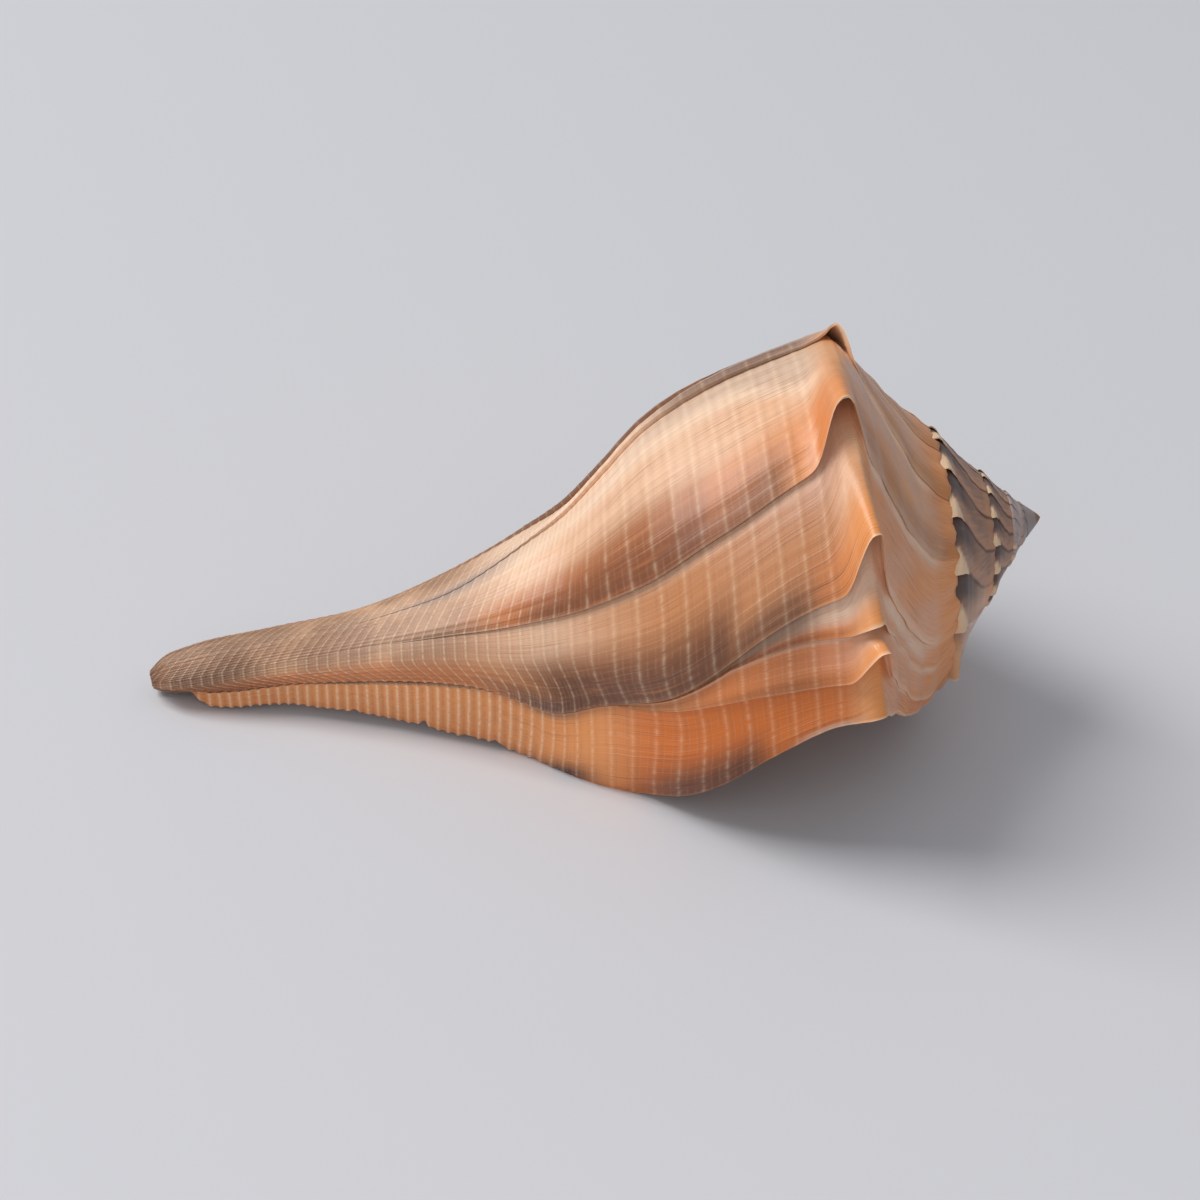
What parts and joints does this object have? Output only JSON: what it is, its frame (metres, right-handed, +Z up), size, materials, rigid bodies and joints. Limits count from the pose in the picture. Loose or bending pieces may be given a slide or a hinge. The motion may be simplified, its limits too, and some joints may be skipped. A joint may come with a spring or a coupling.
{
  "type": "lightning whelk shell",
  "caption": "Left-handed spiral sea shell with a knobbed shoulder and a long narrow canal, lying on its open side.",
  "frame": {"origin": "on the surface that the shell lies on, under the middle of its bounds", "axes": "+X from the narrow canal end toward the spire, +Y away from the outer lip, +Z up as it lies on its aperture"},
  "size_m": [0.1466, 0.0868, 0.0679],
  "materials": {
    "shell": "satin, worn shell surface"
  },
  "bodies": {
    "root": {"shell": "shell"}
  },
  "joints": []
}
